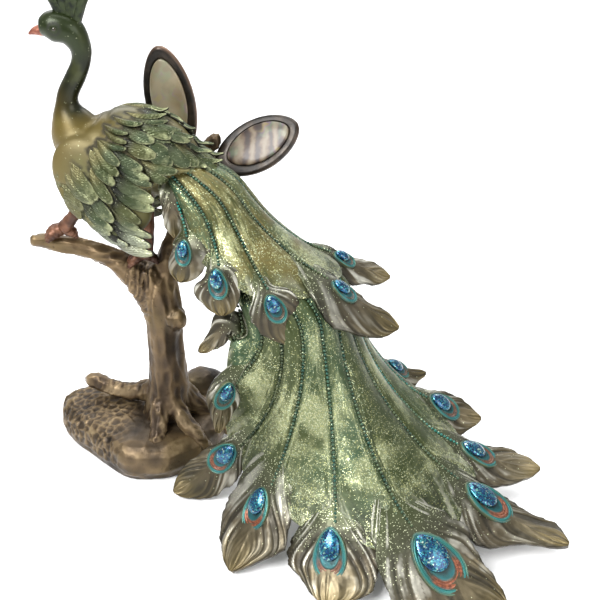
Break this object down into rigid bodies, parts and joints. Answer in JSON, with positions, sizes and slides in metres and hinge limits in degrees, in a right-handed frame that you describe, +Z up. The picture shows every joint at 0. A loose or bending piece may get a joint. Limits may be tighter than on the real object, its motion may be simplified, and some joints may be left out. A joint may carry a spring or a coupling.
{
  "type": "peacock figurine",
  "caption": "Peacock perched on a forked tree stump over a rock, its train of inlaid eyes sweeping down to the table, with inlaid leaves behind its back.",
  "frame": {"origin": "on the table surface under the trunk, on the rock's flat underside", "axes": "+Z up; the bird faces -X, and its train sweeps towards +X and -Y"},
  "size_m": [0.3276, 0.2165, 0.32],
  "materials": {
    "cast_resin": "cast resin painted in metallic olive, bronze and silver, with glitter",
    "eye_gem": "clear domed gem over blue foil",
    "shell": "polished mother-of-pearl inlay"
  },
  "bodies": {
    "root": {"peacock_casting": "cast_resin", "upper_eye_gem_1": "eye_gem", "upper_eye_gem_2": "eye_gem", "upper_eye_gem_3": "eye_gem", "upper_eye_gem_4": "eye_gem", "upper_eye_gem_5": "eye_gem", "upper_eye_gem_6": "eye_gem", "upper_eye_gem_7": "eye_gem", "upper_eye_gem_8": "eye_gem", "lower_eye_gem_2": "eye_gem", "lower_eye_gem_3": "eye_gem", "lower_eye_gem_4": "eye_gem", "lower_eye_gem_5": "eye_gem", "lower_eye_gem_6": "eye_gem", "lower_eye_gem_7": "eye_gem", "lower_eye_gem_8": "eye_gem", "lower_eye_gem_9": "eye_gem", "lower_eye_gem_10": "eye_gem", "lower_eye_gem_11": "eye_gem", "lower_eye_gem_12": "eye_gem", "shell_inlay_left": "shell", "shell_inlay_right": "shell"}
  },
  "joints": []
}
